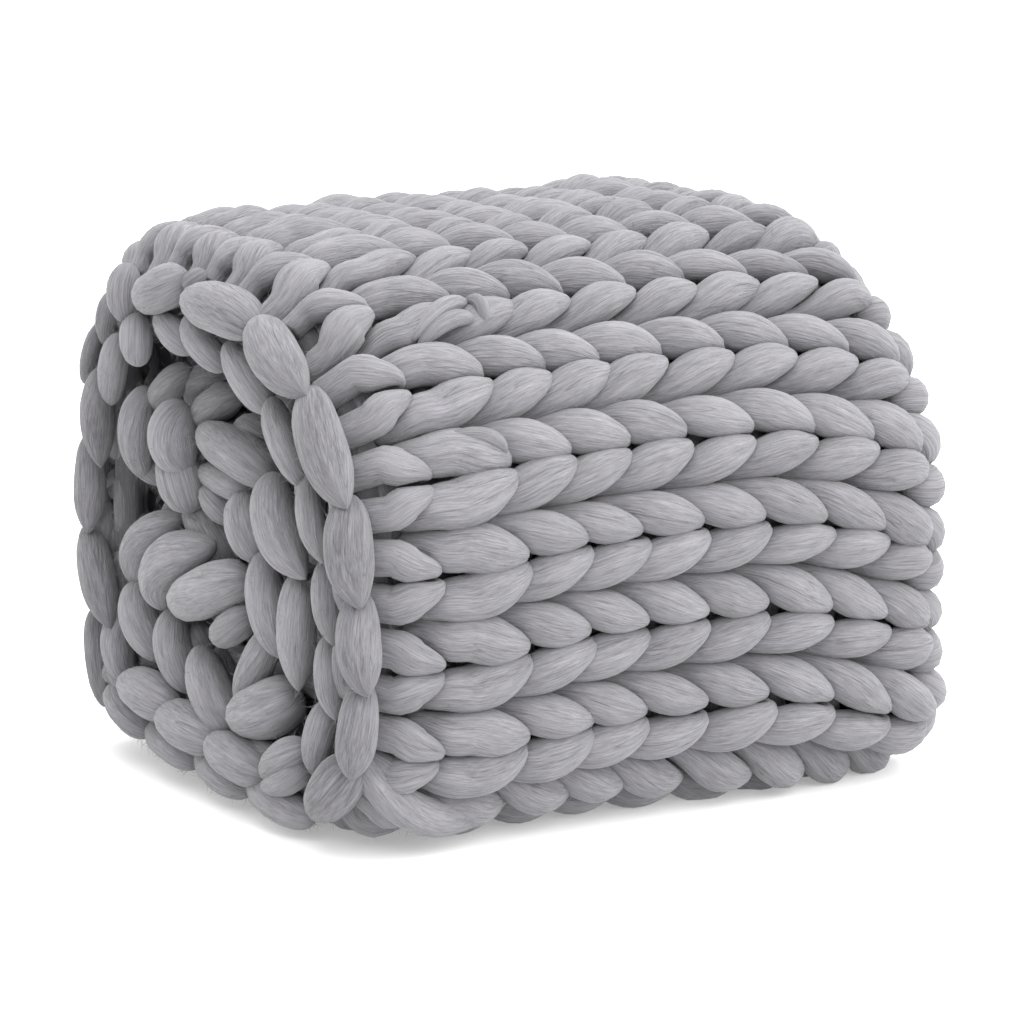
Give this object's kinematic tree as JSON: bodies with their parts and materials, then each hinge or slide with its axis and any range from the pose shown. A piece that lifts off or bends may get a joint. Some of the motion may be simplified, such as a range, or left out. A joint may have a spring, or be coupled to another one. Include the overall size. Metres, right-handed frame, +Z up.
{
  "type": "weighted blanket",
  "caption": "Chunky grey roving knit blanket, folded and rolled into a box-shaped bundle with its chain-bound open edge at one end.",
  "frame": {"origin": "under the middle of the bundle, on the surface that it rests on", "axes": "+X along the columns of stitches, from the open bound-off end to the closed end; +Y from the front wall to the back wall; +Z up"},
  "size_m": [0.46, 0.4338, 0.384],
  "materials": {
    "roving": "soft unspun roving, matt with a faint sheen along the fibres"
  },
  "bodies": {
    "root": {"blanket": "roving"}
  },
  "joints": []
}
